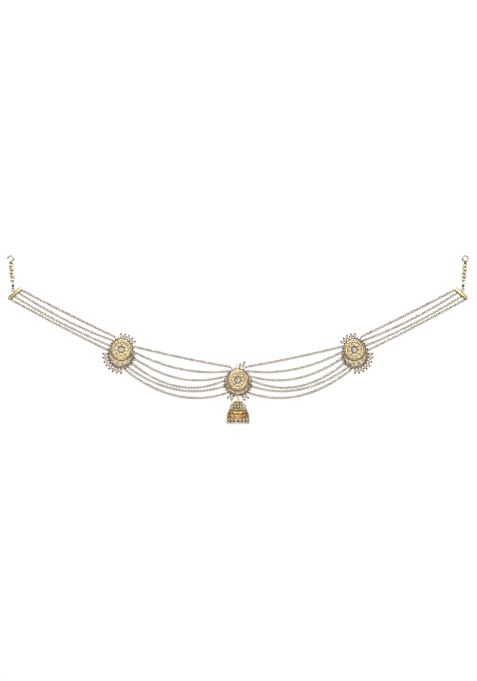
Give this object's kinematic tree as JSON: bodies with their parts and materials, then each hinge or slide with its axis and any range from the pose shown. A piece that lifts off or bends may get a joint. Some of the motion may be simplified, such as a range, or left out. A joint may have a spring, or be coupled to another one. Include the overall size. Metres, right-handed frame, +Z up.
{
  "type": "kamarband",
  "caption": "Waist belt of pearl strings between end bars, carrying round stone-set medallions and a hanging bell drop, with short chains, a hook and a ring.",
  "frame": {"origin": "centre of the middle medallion's flat back, where the belt lies on the waist", "axes": "+Z up as the belt hangs, +X along the belt to the viewer's right, -Y out of its decorated front, +Y towards the wearer"},
  "size_m": [0.6006, 0.03, 0.2188],
  "materials": {
    "pearl": "off-white imitation pearl with a soft sheen",
    "rose_pearl": "warm pinkish pearl with a soft sheen",
    "kundan_stone": "clear foil-backed stone, polished",
    "plate_gold": "polished pale gold plating",
    "bell_gold": "polished deep gold plating",
    "bar_gold": "polished yellow gold plating",
    "chain_gold": "bright gold plating",
    "aged_gold": "darkened gold plating",
    "black_bead": "polished black glass bead"
  },
  "bodies": {
    "belt": {"centre_medallion_plate": "plate_gold", "centre_medallion_petal_stones": "kundan_stone", "centre_medallion_centre_stone": "kundan_stone", "centre_medallion_pearl_fringe": "pearl", "left_medallion_plate": "plate_gold", "left_medallion_petal_stones": "kundan_stone", "left_medallion_centre_stone": "kundan_stone", "left_medallion_pearl_fringe": "pearl", "right_medallion_plate": "plate_gold", "right_medallion_petal_stones": "kundan_stone", "right_medallion_centre_stone": "kundan_stone", "right_medallion_pearl_fringe": "pearl", "left_outer_string_1": "pearl", "left_outer_string_2": "pearl", "left_outer_string_3": "pearl", "left_outer_string_4": "pearl", "left_inner_string_1": "pearl", "left_inner_string_2": "pearl", "left_inner_string_3": "pearl", "left_inner_string_4": "pearl", "left_inner_string_5": "pearl", "left_inner_string_6": "pearl", "right_outer_string_1": "pearl", "right_outer_string_2": "pearl", "right_outer_string_3": "pearl", "right_outer_string_4": "pearl", "right_inner_string_1": "pearl", "right_inner_string_2": "pearl", "right_inner_string_3": "pearl", "right_inner_string_4": "pearl", "right_inner_string_5": "pearl", "right_inner_string_6": "pearl", "left_end_bar": "bar_gold", "left_jump_ring": "aged_gold", "left_black_bead": "black_bead", "left_chain_link_1": "chain_gold", "left_chain_link_2": "chain_gold", "left_chain_link_3": "chain_gold", "left_chain_link_4": "chain_gold", "left_chain_link_5": "chain_gold", "left_end_hook": "aged_gold", "right_end_bar": "bar_gold", "right_jump_ring": "aged_gold", "right_black_bead": "black_bead", "right_chain_link_1": "chain_gold", "right_chain_link_2": "chain_gold", "right_chain_link_3": "chain_gold", "right_chain_link_4": "chain_gold", "right_chain_link_5": "chain_gold", "right_end_ring": "aged_gold"},
    "ring": {"drop_ring": "chain_gold"},
    "drop": {"drop_bell": "bell_gold", "drop_cap_pearls": "pearl", "drop_rim_pearls": "rose_pearl"}
  },
  "joints": [
    {"name": "drop_swing_front", "type": "hinge", "parent": "belt", "child": "ring", "pos_m": [0, -0.002, -0.023], "axis": [1, 0, 0], "range_deg": [-60, 60]},
    {"name": "drop_swing_side", "type": "hinge", "parent": "ring", "child": "drop", "pos_m": [0, -0.002, -0.0255], "axis": [0, 1, 0], "range_deg": [-12, 12]}
  ]
}
